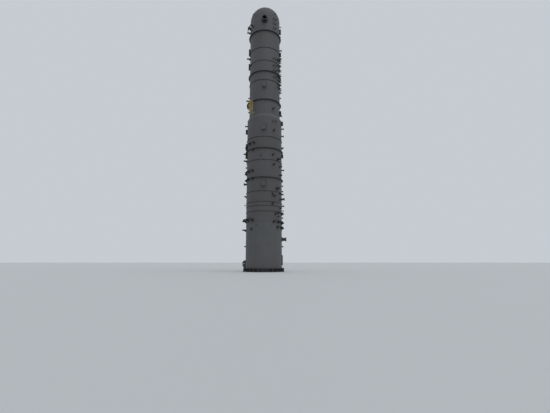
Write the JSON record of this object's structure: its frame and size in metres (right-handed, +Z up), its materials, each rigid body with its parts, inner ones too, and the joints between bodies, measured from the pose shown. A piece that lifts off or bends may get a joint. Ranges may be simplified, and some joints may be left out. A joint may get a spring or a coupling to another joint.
{
  "type": "distillation column, 1:2 scale model",
  "caption": "Tall closed process column of two diameters on a skirt, with ring stiffeners, nozzles, manways, lifting trunnions and clips for platforms.",
  "frame": {"origin": "middle of the base ring's underside, on the ground", "axes": "+Z up along the column, -Y towards the side with the manways, +X to that side's right"},
  "size_m": [3.682, 3.48, 24.384],
  "materials": {
    "shell_primer": "matte shop primer over plate",
    "skirt_primer": "matte shop primer over plate, a little paler",
    "pale_primer": "matte primer, pale from weld cleaning",
    "base_primer": "matte primer",
    "ring_primer": "matte dark primer",
    "clip_primer": "matte primer",
    "cover_steel": "matte primer with bare steel at the edges",
    "safety_yellow": "weathered gloss paint"
  },
  "bodies": {
    "root": {"base_ring": "base_primer", "anchor_gussets": "base_primer", "chair_ring": "base_primer", "skirt": "skirt_primer", "access_collars": "base_primer", "skirt_sleeves": "base_primer", "bottom_head": "shell_primer", "bottom_outlet": "shell_primer", "lower_course_1": "shell_primer", "lower_course_2": "shell_primer", "lower_course_3": "shell_primer", "lower_course_4": "shell_primer", "lower_course_5": "shell_primer", "lower_course_6": "shell_primer", "transition_cone": "pale_primer", "upper_course_1": "shell_primer", "upper_course_2": "shell_primer", "upper_course_3": "shell_primer", "upper_course_4": "shell_primer", "upper_course_5": "shell_primer", "upper_course_6": "shell_primer", "top_head": "shell_primer", "vapour_nozzle": "shell_primer", "stiffener_ring_1": "ring_primer", "stiffener_ring_2": "ring_primer", "stiffener_ring_3": "ring_primer", "stiffener_ring_4": "ring_primer", "stiffener_ring_5": "ring_primer", "support_rings": "ring_primer", "trunnion_front": "shell_primer", "trunnion_rear": "shell_primer", "tailing_lugs": "base_primer", "manway_necks": "shell_primer", "manway_covers": "cover_steel", "manway_davits": "cover_steel", "nozzles": "shell_primer", "flange_covers": "cover_steel", "lower_brackets": "clip_primer", "upper_brackets": "clip_primer", "shell_cleats": "clip_primer", "ladder_clips": "clip_primer", "pipe_guides": "clip_primer", "landing_platform": "clip_primer", "ladder": "safety_yellow", "ladder_cage": "safety_yellow"}
  },
  "joints": []
}
